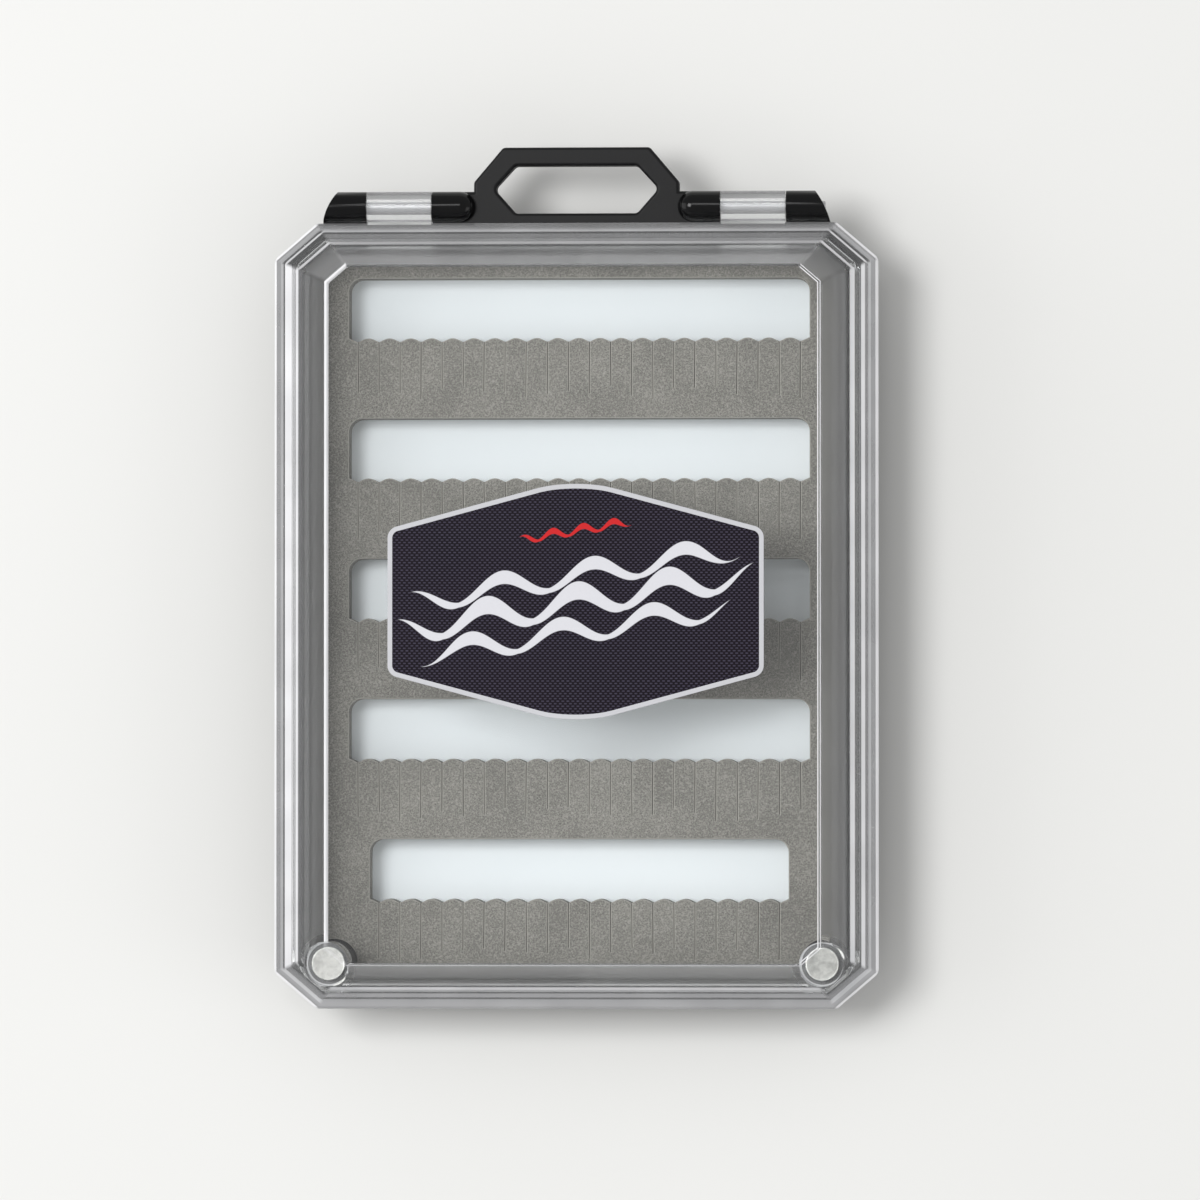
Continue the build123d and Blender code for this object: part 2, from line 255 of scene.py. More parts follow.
class Finish(NodeTree):
    """A procedural material, with short names for the nodes that it uses often."""

    def __init__(self, name):
        self.material = bpy.data.materials.new(name)
        super().__init__(self.material)
        self.places = {}

    def place(self, scale=1000.0, turn=(0, 0, 0), centre=(0, 0, 0)):
        """Object coordinates, in millimetres unless another scale is given."""
        scales = scale if hasattr(scale, "__len__") else (scale, scale, scale)
        key = (tuple(scales), tuple(turn), tuple(centre))
        if key not in self.places:
            where = self.node("ShaderNodeTexCoord").outputs["Object"]
            shift = tuple(-c * s for c, s in zip(centre, scales))
            sockets = {"Vector": where, "Location": shift, "Rotation": turn, "Scale": scales}
            self.places[key] = self.node("ShaderNodeMapping", {}, sockets).outputs[0]
        return self.places[key]

    def axes(self, **place):
        """X, Y and Z of a place as three values."""
        parts = self.node("ShaderNodeSeparateXYZ", {}, {0: self.place(**place)}).outputs
        return tuple(Value(self, part) for part in parts)

    def noise(self, size, detail=2.0, rough=0.5, **place):
        """Cloudy pattern from 0 to 1 with patches of about size millimetres."""
        where = self.place(**place)
        sockets = {"Vector": where, "Scale": 1 / size, "Detail": detail, "Roughness": rough}
        return Value(self, self.node("ShaderNodeTexNoise", {}, sockets).outputs[0])

    def cells(self, size):
        """Distance to the nearest of many scattered points, size millimetres apart."""
        sockets = {"Vector": self.place(), "Scale": 1 / size}
        return Value(self, self.node("ShaderNodeTexVoronoi", {}, sockets).outputs["Distance"])

    def mark(self, name):
        """A value painted on the mesh's faces."""
        node = self.node("ShaderNodeAttribute", {"attribute_name": name})
        return Value(self, node.outputs["Fac"])

    def blend(self, factor, first, second):
        """Colour between two colours."""
        sockets = {"Factor": factor, "A": first, "B": second}
        node = self.node("ShaderNodeMix", {"data_type": "RGBA"}, sockets)
        return next(s for s in node.outputs if s.enabled)

    def bump(self, height, depth_mm, strength=1.0):
        """Normal that shows a height pattern as relief of a depth in millimetres."""
        sockets = {"Height": height, "Distance": depth_mm * MM, "Strength": strength}
        return self.node("ShaderNodeBump", {}, sockets).outputs[0]

    def surface(self, **inputs):
        """Principled shader; underscores in the names stand for spaces."""
        sockets = {key.replace("_", " "): value for key, value in inputs.items()}
        return self.node("ShaderNodeBsdfPrincipled", {}, sockets).outputs[0]

    def mix(self, factor, first, second):
        """Shader between two shaders."""
        return self.node("ShaderNodeMixShader", {}, {0: factor, 1: first, 2: second}).outputs[0]

    def see_through(self, shader, tint):
        """Lets light pass to what lies behind, so that clear plastic casts a faint shadow."""
        rays = self.node("ShaderNodeLightPath").outputs
        passes = Value(self, rays["Is Shadow Ray"]).most(Value(self, rays["Is Diffuse Ray"]))
        clear = self.node("ShaderNodeBsdfTransparent", {}, {"Color": tint}).outputs[0]
        return self.mix(passes, shader, clear)

    def output(self, shader):
        """Ends the material with a shader and gives the material."""
        self.node("ShaderNodeOutputMaterial", {}, {"Surface": shader})
        return self.material


def link_piece(bm, name, body, materials, stands_for, sharp=32.0, level_faces_flat=False):
    """Makes a bmesh a finished piece that rides on a body and stands for CAD nodes."""
    mesh = bpy.data.meshes.new(name)
    bm.to_mesh(mesh)
    bm.free()
    for material in materials:
        mesh.materials.append(material)
    mesh.shade_smooth()
    mesh.set_sharp_from_angle(angle=radians(sharp))
    if level_faces_flat:
        for face in mesh.polygons:
            face.use_smooth = abs(face.normal.z) < 0.9999
    piece = bpy.data.objects.new(name, mesh)
    bpy.context.scene.collection.objects.link(piece)
    weights = piece.modifiers.new("flat_faces_flat", "WEIGHTED_NORMAL")
    weights.keep_sharp = True
    weights.weight = 60
    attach(piece, body)
    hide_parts(*stands_for)
    return piece


# Shapes


def merged_copy(node_name, gap=0.003):
    """Copy of a CAD node's mesh with its triangles merged and its flat faces whole."""
    bm = bmesh.new()
    bm.from_mesh(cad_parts[node_name].data)
    bmesh.ops.remove_doubles(bm, verts=bm.verts, dist=gap * MM)
    bmesh.ops.dissolve_limit(
        bm,
        angle_limit=radians(0.6),
        verts=bm.verts,
        edges=bm.edges,
        use_dissolve_boundaries=False,
    )
    return bm


def soften(bm, edges, width, segments=2, clamp=True):
    """Rounds edges by a width in millimetres and marks the new faces as rounded edges.

    Without clamp the width holds beside very short edges too.
    """
    worn = bm.faces.layers.float.get("worn") or bm.faces.layers.float.new("worn")
    made = bmesh.ops.bevel(
        bm,
        geom=list(edges),
        offset=width * MM,
        offset_type="OFFSET",
        segments=segments,
        profile=0.5,
        affect="EDGES",
        clamp_overlap=clamp,
        material=-1,
    )
    for face in made["faces"]:
        if face.is_valid:
            face[worn] = 1.0


def corners(bm, angle=60.0):
    """Edges where the surface turns by more than an angle in degrees."""
    return [
        e for e in bm.edges if len(e.link_faces) == 2 and e.calc_face_angle() > radians(angle)
    ]


def top_corners(bm, top_z):
    """Sharp edges that lie in the top of a sheet."""
    return [e for e in corners(bm) if all(v.co.z > top_z - 0.01 * MM for v in e.verts)]


def verts_in(made):
    """The verts among what a bmesh operator made."""
    return [g for g in made["geom"] if isinstance(g, bmesh.types.BMVert)]


def nearest(verts, place):
    """The vert nearest to a place."""
    return min(verts, key=lambda v: (v.co - Vector(place)).length)


def round_points(bm, verts, reach, segments):
    """Rounds corner points of a line; reach is where the curve starts, in metres."""
    bmesh.ops.bevel(
        bm,
        geom=list(verts),
        offset=reach,
        offset_type="OFFSET",
        segments=segments,
        profile=0.5,
        affect="VERTICES",
        clamp_overlap=True,
        material=-1,
    )


def raise_sheet(bm, height):
    """Gives flat faces a thickness upwards."""
    raised = bmesh.ops.extrude_face_region(bm, geom=bm.faces)
    bmesh.ops.translate(bm, verts=verts_in(raised), vec=(0, 0, height))
    bmesh.ops.recalc_face_normals(bm, faces=bm.faces)


def fill_and_raise(bm, height):
    """Fills the closed lines, holes left open, and gives the sheet its thickness."""
    bmesh.ops.triangle_fill(
        bm,
        use_beauty=True,
        use_dissolve=False,
        edges=bm.edges,
        normal=(0, 0, 1),
    )
    raise_sheet(bm, height)


def cylinder(radius, length, place, sides):
    """Closed cylinder whose middle and direction a matrix gives."""
    bm = bmesh.new()
    bmesh.ops.create_cone(
        bm,
        cap_ends=True,
        segments=sides,
        radius1=radius,
        radius2=radius,
        depth=length,
        matrix=place,
    )
    return bm


# Finishes


def from_outline(x, y):
    """How far a place is inside the lid's sides, ends and cut corners, in millimetres."""
    half_x, half_y = RIM_HALF / MM
    cut_x, cut_y = CORNER_CUT / MM
    slant = sqrt(cut_x**2 + cut_y**2)
    reach = (half_x * cut_y + (half_y - cut_y) * cut_x) / slant
    corner = reach - (abs(x) * (cut_y / slant) + abs(y) * (cut_x / slant))
    return half_x - abs(x), half_y - abs(y), corner


def from_boss(x, y):
    """Square of the distance from the nearer boss's axis, in square millimetres."""
    away_x, away_y = abs(x) - BOSS.x / MM, y - BOSS.y / MM
    return away_x * away_x + away_y * away_y


def painted_window_highlights(x, y):
    """Painted highlights at the window's edge: one on its left, two on its right, faint at its
    ends.
    """
    side, end, corner = from_outline(x, y)
    beside = (side - WINDOW_SIDE).least(corner - WINDOW_CORNER)
    ends = end - WINDOW_END
    left_line = beside.steps(LEFT_LINE) * (1 - 0.75 * from_boss(x, y).ramp(50, 38))
    sides = x.ramp(-1, 1).choose(beside.steps(RIGHT_LINES), left_line)
    faint = ends.steps(END_LINE) * (1 - 0.7 * y.ramp(-1, 1))
    return (ends - beside).ramp(-0.2, 0.2).choose(sides, faint)


def boss_haze_and_highlight(x, y, height):
    """Milky haze under the lid's bosses, with a painted highlight along the outer edge."""
    apart = from_boss(x, y)
    ring = apart.ramp(24.5, 26.0) * apart.ramp(45.0, 43.5)
    return ring * height.ramp(0.7, 0.5) * (0.2 + 0.5 * apart.ramp(37.5, 39.0))


def painted_lid_light(x, y):
    """Painted highlights and reflections on the lid's outside, as a milky share told from the
    nearest side, end or cut corner.
    """
    side, end, corner = from_outline(x, y)
    side_as_end = side * SIDE_TO_END
    beside = (end - side_as_end).ramp(-0.4, 0.4)
    at_corner = (side_as_end.least(end) - corner * CORNER_TO_END).ramp(-0.5, 0.5)
    right = x.ramp(-1, 1)
    back = y.ramp(-1, 1)
    sides = right.choose(side.steps(RIGHT_BANDS), side.steps(LEFT_BANDS))
    ends = back.choose(end.steps(BACK_BANDS), end.steps(FRONT_BANDS))
    oval = corner.steps(OVAL_BANDS) * from_boss(x, y).ramp(64, 52)
    front_corners = corner.steps(FRONT_CORNER_BANDS) + oval
    cuts = back.choose(corner.steps(BACK_CORNER_BANDS), front_corners)
    return at_corner.choose(cuts, beside.choose(sides, ends))


def clear_plastic(name, haze, tint, banded):
    """Clear moulded plastic, milky where its faces are marked so, with painted highlights and
    reflections in the rim's bands and at the window's edge.
    """
    finish = Finish(name)
    x, y, height = finish.axes(centre=(0, 0, PARTING_Z))
    flow = finish.noise(14.0, 1.0)
    scuffs = finish.noise(1.0, 3.0, scale=(60, 1400, 1000), turn=(0, 0, 0.5)).ramp(0.66, 0.8)
    # Milky haze marked on the faces, with painted highlights on the rounded edges; the haze share
    # also scales the painted bands.
    haze_and_painted_light = finish.mark("haze_and_painted_light") * haze * (0.85 + 0.3 * flow)
    if banded:
        # Painted highlights and reflections in bands along the rim.
        haze_and_painted_light = haze_and_painted_light + finish.mark("banded") * haze * (0.92 + 0.16 * flow) * painted_lid_light(x, y)
        # Milky haze under the bosses, with a painted highlight on their outer edge.
        haze_and_painted_light = haze_and_painted_light + boss_haze_and_highlight(x, y, height) * haze
    # Painted highlights along the window's edge.
    painted_glint = painted_window_highlights(x, y) * height.ramp(GLINT_FOOT - 0.1, GLINT_FOOT + 0.1)
    frost = finish.mark("frosted") * from_boss(x, y).ramp(60, 85)
    passed = finish.blend(flow * 0.5, tint, swatch(250, 252, 252))
    # Painted shade: the frosted slopes pass a greyer colour, deepest on the left where the light
    # falls strongest.
    frost_and_left_shade = frost * (1 - 0.4 * x.ramp(0, 5))
    clear = finish.surface(
        Base_Color=finish.blend(frost_and_left_shade, passed, swatch(190, 190, 191)),
        Roughness=0.012 + 0.04 * scuffs + 0.3 * frost,
        IOR=1.49,
        Transmission_Weight=1.0,
        Normal=finish.bump(flow, 0.0015),
    )
    # The milky layer shows both the haze and the painted highlights and reflections.
    milk_and_painted_light = finish.surface(
        Base_Color=finish.blend(flow, swatch(214, 214, 216), swatch(232, 232, 234)),
        Roughness=0.3 + 0.1 * flow,
    )
    cloudy = finish.mix((haze_and_painted_light + painted_glint + 0.01 * scuffs).least(0.97), clear, milk_and_painted_light)
    lets_through = WALL_LETS_THROUGH if banded else WINDOW_LETS_THROUGH
    return finish.output(finish.see_through(cloudy, lets_through))


def black_moulding():
    """Black plastic: satin spark grain on the tray and handle, polished on the hinge barrels."""
    finish = Finish("black_moulding")
    height = finish.axes(centre=(0, 0, PARTING_Z))[2]
    grain = finish.noise(0.3, 2.0)
    patches = finish.noise(14.0, 3.0)
    marks = finish.noise(1.0, 3.0, scale=(90, 1600, 900), turn=(0, 0, 0.35)).ramp(0.64, 0.78)
    # Rubbed edges come out lighter, partly as wear and partly as a painted highlight.
    rub_and_edge_highlight = finish.mark("worn") * finish.noise(3.5, 4.0).ramp(0.35, 0.7)
    polished = height.ramp(-0.05, 0.1)
    tone = 0.35 * patches + 0.3 * grain + 0.7 * rub_and_edge_highlight + 0.15 * marks - 0.5 * polished
    shader = finish.surface(
        Base_Color=finish.blend(tone.ramp(0.1, 1.2), swatch(8, 8, 9), swatch(38, 38, 40)),
        Roughness=0.42 + 0.1 * patches - 0.2 * rub_and_edge_highlight + 0.06 * marks - 0.33 * polished,
        Specular_IOR_Level=0.2,
        Normal=finish.bump(grain * (1 - 0.8 * polished), 0.03, 0.5),
    )
    return finish.output(shader)


def foam_finish():
    """Closed-cell foam: fine bright and dark cells over soft, slightly warm patches."""
    finish = Finish("grey_foam")
    speck = finish.noise(0.45, 3.0, 0.75)
    cell = finish.cells(0.5)
    # The rounded cut edges come out lighter, partly as frayed foam and partly as a painted
    # highlight.
    cut = finish.mark("worn")
    patch = finish.noise(16.0, 2.0)
    tone = (0.75 * speck + 0.3 * cell + 0.2 * patch + 0.3 * cut).ramp(0.42, 0.9)
    base = finish.blend(tone, swatch(97, 95, 90), swatch(157, 154, 147))
    pores = cell.ramp(0.2, 0.06)
    shader = finish.surface(
        Base_Color=finish.blend(pores * 0.35, base, swatch(80, 78, 74)),
        Roughness=0.86 + 0.1 * speck,
        Specular_IOR_Level=0.25,
        Normal=finish.bump(speck * 0.6 + cell * 0.4, 0.12, 0.7),
    )
    return finish.output(shader)


def backing_finish():
    """White foam sheet with a cool cast and a very fine tooth."""
    finish = Finish("white_backing")
    tooth = finish.noise(0.35, 3.0, 0.6)
    patch = finish.noise(30.0, 2.0)
    tone = 0.5 * tooth + 0.5 * patch
    shader = finish.surface(
        Base_Color=finish.blend(tone, swatch(238, 244, 248), swatch(246, 250, 252)),
        Roughness=0.7 + 0.15 * tooth,
        Specular_IOR_Level=0.3,
        Normal=finish.bump(tooth, 0.03, 0.5),
    )
    return finish.output(shader)


def label_border():
    """Pale satin film round the label's field."""
    finish = Finish("label_border")
    grain = finish.noise(0.5, 3.0)
    cast = finish.noise(22.0, 2.0)
    tone = 0.6 * cast + 0.4 * grain
    shader = finish.surface(
        Base_Color=finish.blend(tone, swatch(174, 175, 179), swatch(194, 194, 198)),
        Roughness=0.45 + 0.12 * grain,
        Specular_IOR_Level=0.35,
        Normal=finish.bump(grain, 0.008, 0.4),
    )
    return finish.output(shader)


def label_field():
    """Dark woven print with a plain ornament of pale waves and a small red one."""
    finish = Finish("label_field")
    sizes = bpy.context.scene.fly_box_label
    x, y = finish.axes(centre=(sizes.centre_x, sizes.centre_y, 0))[:2]
    thread_length = sizes.weave_pitch / MM
    row = y / (thread_length * 0.5)
    along = (x / thread_length + row.whole() * 0.5).fraction()
    across = row.fraction()
    ragged = finish.noise(0.5, 2.0)
    dash = abs(along - 0.5).ramp(0.34, 0.2) * abs(across - 0.5).ramp(0.36, 0.16)
    thread = dash * (0.35 + 0.9 * ragged)
    cast = finish.noise(24.0, 2.0)
    ground = finish.blend(cast, swatch(14, 10, 19), swatch(21, 14, 23))
    woven = finish.blend(thread * 0.5, ground, swatch(92, 88, 108))
    rise = x * sizes.rise

    def wave(lift, swing, length, phase, width, reach):
        """Mask of one brush-like wave that thins towards its ends."""
        line = lift + rise + swing * (x / length * (2 * pi) + phase).sine()
        body = 0.35 + 0.65 * abs((x / length * pi + phase * 0.5 + 0.7).sine())
        taper = abs(x).ramp(reach, reach * 0.72)
        half = width * body * taper
        return (abs(y - line) - half + 0.12).ramp(0.24, 0.0) * taper.ramp(0.0, 0.05)

    pale = wave(*PALE_WAVES[0])
    for numbers in PALE_WAVES[1:]:
        pale = pale.most(wave(*numbers))
    red = wave(*RED_WAVE)
    printed = finish.blend(pale * (0.93 + 0.07 * ragged), woven, swatch(206, 206, 211))
    printed = finish.blend(red * (0.9 + 0.1 * ragged), printed, swatch(196, 38, 40))
    shader = finish.surface(
        Base_Color=printed,
        Roughness=0.5 + 0.15 * ragged - 0.08 * pale,
        Specular_IOR_Level=0.09,
        Normal=finish.bump(thread * (1 - pale), 0.03, 0.6),
    )
    return finish.output(shader)


def nickel_plate():
    """Bright plated disc with soft mottling and fine turning marks."""
    finish = Finish("nickel_plate")
    mottle = finish.noise(1.8, 3.0).ramp(0.2, 0.75)
    fine = finish.noise(0.25, 2.0)
    dull = finish.mark("worn") * 0.1
    shader = finish.surface(
        Base_Color=finish.blend(mottle, swatch(181, 180, 177), swatch(229, 228, 225)),
        Metallic=1.0,
        Roughness=0.36 + 0.2 * mottle + 0.06 * fine + dull,
        Normal=finish.bump(mottle * 0.7 + fine * 0.3, 0.03, 0.5),
    )
    return finish.output(shader)


def pin_steel():
    """Drawn steel wire with marks along its length."""
    finish = Finish("pin_steel")
    draw = finish.noise(0.3, 3.0, scale=(60, 1000, 1000))
    spots = finish.noise(1.2, 3.0).ramp(0.55, 0.8)
    shader = finish.surface(
        Base_Color=finish.blend(draw, swatch(150, 150, 152), swatch(196, 196, 198)),
        Metallic=1.0,
        Roughness=0.24 + 0.16 * draw + 0.15 * spots,
        Normal=finish.bump(draw, 0.01, 0.6),
    )
    return finish.output(shader)


def floor_finish():
    """Plain pale studio floor."""
    finish = Finish("studio_floor")
    sizes = bpy.context.scene.fly_box_stage
    soft = finish.noise(300.0, 2.0)
    shader = finish.surface(
        Base_Color=finish.blend(soft, tuple(sizes.floor_colour), swatch(222, 222, 220)),
        Roughness=0.75 + 0.1 * soft,
        Specular_IOR_Level=0.2,
    )
    return finish.output(shader)


# Sizes and colours that a user would change


class StageSettings(bpy.types.PropertyGroup):
    """Floor, lamps and camera."""

    floor_colour: FloatVectorProperty(
        name="Floor",
        description="Colour of the floor under the box",
        subtype="COLOR",
        size=3,
        min=0,
        max=1,
        default=swatch(216, 216, 214),
    )
    floor_size: FloatProperty(
        name="Floor size",
        description="Length of the floor's sides",
        default=6.0,
        unit="LENGTH",
    )
    lens: FloatProperty(
        name="Lens",
        description="Focal length in millimetres on a 36 mm sensor",
        default=281.35,
    )
    key_power: FloatProperty(
        name="Key lamp",
        description="Power of the soft lamp at the upper left; the others follow it",
        default=48.0,
        unit="POWER",
    )
    sky: FloatProperty(
        name="Sky",
        description="Strength of the even light from all round",
        default=0.6,
    )


class LidSettings(bpy.types.PropertyGroup):
    """Clear lid."""

    edge_round: FloatProperty(
        name="Edge round",
        description="Round along the lid's moulded edges",
        default=0.25 * MM,
        unit="LENGTH",
    )
    ring_round: FloatProperty(
        name="Ring round",
        description="Round along the steps of the lid's rim",
        default=0.35 * MM,
        unit="LENGTH",
    )
    # Also scales the painted highlights and reflections in the rim's bands.
    wall_haze_and_light: FloatProperty(
        name="Wall haze",
        description="How cloudy the sloped walls and the rim are",
        default=1.0,
        min=0,
        max=1,
        subtype="FACTOR",
    )
    pane_haze: FloatProperty(
        name="Window haze",
        description="How cloudy the window is",
        default=0.12,
        min=0,
        max=1,
        subtype="FACTOR",
    )
    tint: FloatVectorProperty(
        name="Tint",
        description="Colour that the plastic gives to what lies behind it",
        subtype="COLOR",
        size=3,
        min=0,
        max=1,
        default=swatch(251, 252, 252),
    )


class BaseSettings(bpy.types.PropertyGroup):
    """Black tray."""

    edge_round: FloatProperty(
        name="Edge round",
        description="Round along the tray's edges",
        default=0.3 * MM,
        unit="LENGTH",
    )


class FoamSettings(bpy.types.PropertyGroup):
    """Slotted foam insert."""

    ripple_pitch: FloatProperty(
        name="Ripple pitch",
        description="Distance between neighbouring ripples",
        default=6.35 * MM,
        unit="LENGTH",
    )
    ripple_depth: FloatProperty(
        name="Ripple depth",
        description="Height of a ripple from its valley to its crest",
        default=1.5 * MM,
        unit="LENGTH",
    )
    slit_gap: FloatProperty(
        name="Slit gap",
        description="How far the cut slits stand open",
        default=0.14 * MM,
        unit="LENGTH",
    )
    slit_length: FloatProperty(
        name="Slit length",
        description="Usual length of a slit from the valley it starts in",
        default=15.0 * MM,
        unit="LENGTH",
    )
    slot_pitch: FloatProperty(
        name="Slot pitch",
        description="Distance from one slot to the next",
        default=42.2 * MM,
        unit="LENGTH",
    )
    slot_height: FloatProperty(
        name="Slot height",
        description="Height of a slot from its crests to its far edge",
        default=17.6 * MM,
        unit="LENGTH",
    )
    first_crest_y: FloatProperty(
        name="First crests",
        description="Y of the crests of the slot nearest the hinge",
        default=84.2 * MM,
        unit="LENGTH",
    )
    slot_half_width: FloatProperty(
        name="Slot half width",
        description="Half the width of the long slots",
        default=69.4 * MM,
        unit="LENGTH",
    )
    short_inset: FloatProperty(
        name="Last slot inset",
        description="How much shorter the last slot is at each end",
        default=6.35 * MM,
        unit="LENGTH",
    )
    slot_count: IntProperty(
        name="Slots",
        description="Number of slots",
        default=5,
        min=1,
    )
    edge_round: FloatProperty(
        name="Edge round",
        description="Round of the foam's cut edges",
        default=0.3 * MM,
        unit="LENGTH",
    )
    seed: IntProperty(
        name="Seed",
        description="Changes the uneven lengths of the slits",
        default=11,
    )


class LabelSettings(bpy.types.PropertyGroup):
    """Label on the window."""

    border: FloatProperty(
        name="Border",
        description="Width of the pale border",
        default=1.4 * MM,
        unit="LENGTH",
    )
    side_half_height: FloatProperty(
        name="Side half height",
        description="Half the height of the label's upright sides",
        default=21.7 * MM,
        unit="LENGTH",
    )
    half_height: FloatProperty(
        name="Half height",
        description="Half the height of the label's points before they are rounded",
        default=36.8 * MM,
        unit="LENGTH",
    )
    centre_x: FloatProperty(
        name="Offset",
        description="How far the label is stuck to the right of the window's middle",
        default=0.8 * MM,
        unit="LENGTH",
    )
    centre_y: FloatProperty(
        name="Centre",
        description="Y of the label's middle",
        default=3.9 * MM,
        unit="LENGTH",
    )
    weave_pitch: FloatProperty(
        name="Weave pitch",
        description="Length of one thread of the printed weave",
        default=1.5 * MM,
        unit="LENGTH",
    )
    rise: FloatProperty(
        name="Rise",
        description="How much the pale waves climb for each unit of length",
        default=0.16,
    )


class MetalSettings(bpy.types.PropertyGroup):
    """Magnets and hinge pins."""

    magnet_edge: FloatProperty(
        name="Magnet edge",
        description="Round of the magnets' plated edges",
        default=0.35 * MM,
        unit="LENGTH",
    )
    pin_edge: FloatProperty(
        name="Pin edge",
        description="Round of the pins' ends",
        default=0.45 * MM,
        unit="LENGTH",
    )
    sides: IntProperty(
        name="Sides",
        description="Faces round each magnet and pin",
        default=64,
        min=12,
    )


# Stage

# Place of each soft lamp, its size in metres and its share of the key lamp's power.
LAMPS = {
    "key_lamp": ((-1.1, 0.4, 2.6), 1.1, 1.0),
    "back_lamp": ((-0.16, 0.75, 2.6), 0.4, 0.07),
    "left_lamp": ((-2.0, 0.1, 0.75), 1.5, 0.25),
    "right_lamp": ((2.2, -0.6, 1.1), 1.2, 0.16),
}
CAMERA_EYE = Vector((0.1656, -0.0464, 2.83))
CAMERA_AIM = Vector((0.0072, 0.00465, 0.030))

# The sky dims between these heights of the view, 1 being straight up.
SKY_DIMS_FROM, SKY_DIMS_TO, SKY_DIMMED = 0.55, 0.97, 0.9


def add_floor(context, size):
    """Square floor under the box."""
    bm = bmesh.new()
    bmesh.ops.create_grid(bm, x_segments=8, y_segments=8, size=size / 2)
    mesh = bpy.data.meshes.new("studio_floor")
    bm.to_mesh(mesh)
    bm.free()
    mesh.materials.append(floor_finish())
    floor = bpy.data.objects.new("studio_floor", mesh)
    context.scene.collection.objects.link(floor)


def add_lamp(context, name, place, size, power):
    """Square soft lamp aimed at the middle of the box."""
    lamp = bpy.data.lights.new(name, "AREA")
    lamp.shape = "SQUARE"
    lamp.size = size
    lamp.energy = power
    holder = bpy.data.objects.new(name, lamp)
    holder.location = place
    holder.rotation_euler = (-Vector(place)).to_track_quat("-Z", "Y").to_euler()
    holder.visible_transmission = False
    context.scene.collection.objects.link(holder)


def add_camera(context, lens):
    """Camera high above the box, a little to its right, with the hinge at the top."""
    camera = bpy.data.cameras.new("camera")
    camera.lens = lens
    camera.sensor_width = 36.0
    camera.clip_end = 30.0
    holder = bpy.data.objects.new("camera", camera)
    context.scene.collection.objects.link(holder)
    back = (CAMERA_EYE - CAMERA_AIM).normalized()
    right = Vector((0, 1, 0)).cross(back).normalized()
    turn = Matrix((right, back.cross(right), back)).transposed().to_4x4()
    holder.matrix_world = Matrix.Translation(CAMERA_EYE) @ turn
    context.scene.camera = holder


def add_sky(context, strength):
    """Even white light from all round, a little weaker from straight above."""
    world = context.scene.world or bpy.data.worlds.new("studio")
    context.scene.world = world
    world.cycles.sampling_method = "NONE"
    sky = NodeTree(world)
    where = sky.node("ShaderNodeTexCoord").outputs["Generated"]
    up = sky.node("ShaderNodeSeparateXYZ", {}, {0: where}).outputs["Z"]
    dims = {
        "Value": up,
        "From Min": SKY_DIMS_FROM,
        "From Max": SKY_DIMS_TO,
        "To Min": strength,
        "To Max": strength * SKY_DIMMED,
    }
    level = sky.node("ShaderNodeMapRange", {}, dims).outputs[0]
    shade = sky.node("ShaderNodeBackground", {}, {"Color": (1, 1, 1), "Strength": level})
    sky.node("ShaderNodeOutputWorld", {}, {"Surface": shade.outputs[0]})


class FLYBOX_OT_stage(bpy.types.Operator):
    """Add the floor, the soft lamps, the sky and the camera"""

    bl_idname = "flybox.stage"
    bl_label = "Stage"

    def execute(self, context):
        sizes = context.scene.fly_box_stage
        add_floor(context, sizes.floor_size)
        for name, (place, size, share) in LAMPS.items():
            add_lamp(context, name, place, size, sizes.key_power * share)
        add_camera(context, sizes.lens)
        add_sky(context, sizes.sky)
        context.scene.view_settings.view_transform = "Standard"
        return {"FINISHED"}


# Base


class FLYBOX_OT_base(bpy.types.Operator):
    """Dress the black tray with its posts, hinge barrels and handle"""

    bl_idname = "flybox.base"
    bl_label = "Base"

    def execute(self, context):
        bm = merged_copy("base_shell")
        long_edges = [e for e in corners(bm, 40.0) if e.calc_length() > 4.0 * MM]
        soften(bm, long_edges, context.scene.fly_box_base.edge_round / MM)
        link_piece(bm, "tray", "base", [black_moulding()], ["base_shell"])
        return {"FINISHED"}


# Lid


def height_of(face):
    """Height of a face's middle above the parting plane, in millimetres."""
    return (face.calc_center_median().z - PARTING_Z) / MM


def on_knuckle(place):
    """Whether a place is behind the lid's rim, on a hinge knuckle."""
    return place.y > RIM_HALF.y + 0.1 * MM


def looks_out(face):
    """Whether a face looks up and away from the middle of the lid, knuckles left out."""
    middle = face.calc_center_median()
    away = face.normal.dot(Vector((middle.x, middle.y, 0.05))) > 0
    return face.normal.z > 0.15 and away and not on_knuckle(middle)


def haze_and_edge_highlight(face, worn):
    """How milky a face outside the bands is: rounded edges most, as a painted highlight, and
    inside faces least.
    """
    if on_knuckle(face.calc_center_median()):
        return 0.2
    if height_of(face) > WINDOW_EDGE:
        return 0.25 if worn else 0.1
    return 0.3 if worn else 0.02


def on_stepped_rim(edge):
    """Whether an edge belongs to the stepped outside of the rim."""
    middle = (edge.verts[0].co + edge.verts[1].co) / 2
    beside_x = abs(middle.x) > RIM_HALF.x - RIM_WIDTH_SIDE * MM
    beside_y = abs(middle.y) > RIM_HALF.y - RIM_WIDTH_END * MM
    corner = abs(middle.x) / RIM_HALF.x + abs(middle.y) / RIM_HALF.y > CORNER_SUM
    normals = [f.normal for f in edge.link_faces]
    outward = all(n.z > 0.5 or n.dot(Vector((middle.x, middle.y, 0))) > 0 for n in normals)
    return outward and (beside_x or beside_y or corner)


